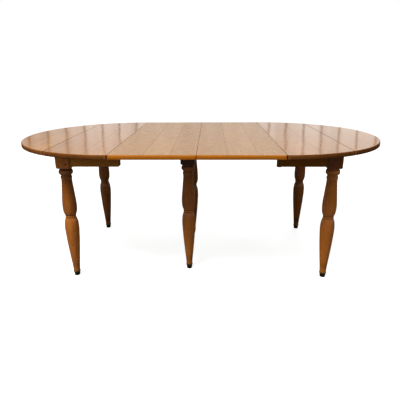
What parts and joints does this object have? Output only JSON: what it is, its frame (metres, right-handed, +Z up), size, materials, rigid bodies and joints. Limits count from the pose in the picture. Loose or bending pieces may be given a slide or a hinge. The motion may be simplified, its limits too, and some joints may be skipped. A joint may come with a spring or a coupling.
{
  "type": "extending table",
  "caption": "Round-ended extending dining table with lift-out leaves between two halves, fold-down ends and turned legs on metal ferrules.",
  "frame": {"origin": "on the floor, under the middle of the table as it stands extended", "axes": "+X along the table's length, -Y to the front of the picture, +Z up"},
  "size_m": [2, 1.2, 0.73],
  "materials": {
    "top_wood": "gloss varnish",
    "leaf_wood": "satin varnish",
    "leg_wood": "gloss stain",
    "rail_wood": "satin stain",
    "peg_wood": "satin stain",
    "inner_wood": "oiled",
    "antique_brass": "antique",
    "screw_steel": "plain"
  },
  "bodies": {
    "trestle": {"beam_pegs": "inner_wood", "centre_cross_beam": "inner_wood", "centre_ferrules": "antique_brass", "centre_leg_back": "leg_wood", "centre_leg_front": "leg_wood", "middle_runner_back": "inner_wood", "middle_runner_front": "inner_wood", "middle_runner_keys": "inner_wood"},
    "left_half": {"left_back_leg": "leg_wood", "left_back_rail": "rail_wood", "left_back_runner": "inner_wood", "left_bearer_guides": "inner_wood", "left_end_rail": "rail_wood", "left_ferrules": "antique_brass", "left_front_leg": "leg_wood", "left_front_rail": "rail_wood", "left_front_runner": "inner_wood", "left_hinge_pins": "antique_brass", "left_hinge_plates": "antique_brass", "left_rail_end_blocks": "inner_wood", "left_rail_pegs": "peg_wood", "left_runner_keys": "inner_wood", "left_top": "top_wood", "left_top_buttons": "inner_wood", "left_top_screws": "screw_steel"},
    "right_half": {"right_back_leg": "leg_wood", "right_back_rail": "rail_wood", "right_back_runner": "inner_wood", "right_bearer_guides": "inner_wood", "right_end_rail": "rail_wood", "right_ferrules": "antique_brass", "right_front_leg": "leg_wood", "right_front_rail": "rail_wood", "right_front_runner": "inner_wood", "right_hinge_pins": "antique_brass", "right_hinge_plates": "antique_brass", "right_rail_end_blocks": "inner_wood", "right_rail_pegs": "peg_wood", "right_runner_keys": "inner_wood", "right_top": "top_wood", "right_top_buttons": "inner_wood", "right_top_screws": "screw_steel"},
    "left_folding_end": {"left_flap": "top_wood", "left_flap_hinge_plates": "antique_brass"},
    "right_folding_end": {"right_flap": "top_wood", "right_flap_hinge_plates": "antique_brass"},
    "left_leaf_body": {"left_leaf": "leaf_wood", "left_leaf_battens": "inner_wood", "left_leaf_screws": "screw_steel"},
    "right_leaf_body": {"right_leaf": "leaf_wood", "right_leaf_battens": "inner_wood", "right_leaf_screws": "screw_steel"},
    "left_front_bearer_body": {"left_front_bearer": "inner_wood"},
    "left_back_bearer_body": {"left_back_bearer": "inner_wood"},
    "right_front_bearer_body": {"right_front_bearer": "inner_wood"},
    "right_back_bearer_body": {"right_back_bearer": "inner_wood"}
  },
  "joints": [
    {"name": "left_extension", "type": "slide", "parent": "trestle", "child": "left_half", "axis": [-1, 0, 0], "range_m": [0, 0.147]},
    {"name": "right_extension", "type": "slide", "parent": "trestle", "child": "right_half", "axis": [1, 0, 0], "range_m": [0, 0.033]},
    {"name": "left_leaf_lift", "type": "slide", "parent": "left_half", "child": "left_leaf_body", "axis": [0, 0, 1], "range_m": [0, 0.15]},
    {"name": "left_flap_hinge", "type": "hinge", "parent": "left_half", "child": "left_folding_end", "pos_m": [-0.723, 0, 0.708], "axis": [0, 1, 0], "range_deg": [-90, 0]},
    {"name": "left_front_bearer_slide", "type": "slide", "parent": "left_half", "child": "left_front_bearer_body", "axis": [-1, 0, 0], "range_m": [0, 0.16]},
    {"name": "left_back_bearer_slide", "type": "slide", "parent": "left_half", "child": "left_back_bearer_body", "axis": [-1, 0, 0], "range_m": [0, 0.16]},
    {"name": "right_leaf_lift", "type": "slide", "parent": "right_half", "child": "right_leaf_body", "axis": [0, 0, 1], "range_m": [0, 0.15]},
    {"name": "right_flap_hinge", "type": "hinge", "parent": "right_half", "child": "right_folding_end", "pos_m": [0.723, 0, 0.708], "axis": [0, -1, 0], "range_deg": [-90, 0]},
    {"name": "right_front_bearer_slide", "type": "slide", "parent": "right_half", "child": "right_front_bearer_body", "axis": [1, 0, 0], "range_m": [0, 0.16]},
    {"name": "right_back_bearer_slide", "type": "slide", "parent": "right_half", "child": "right_back_bearer_body", "axis": [1, 0, 0], "range_m": [0, 0.16]}
  ]
}
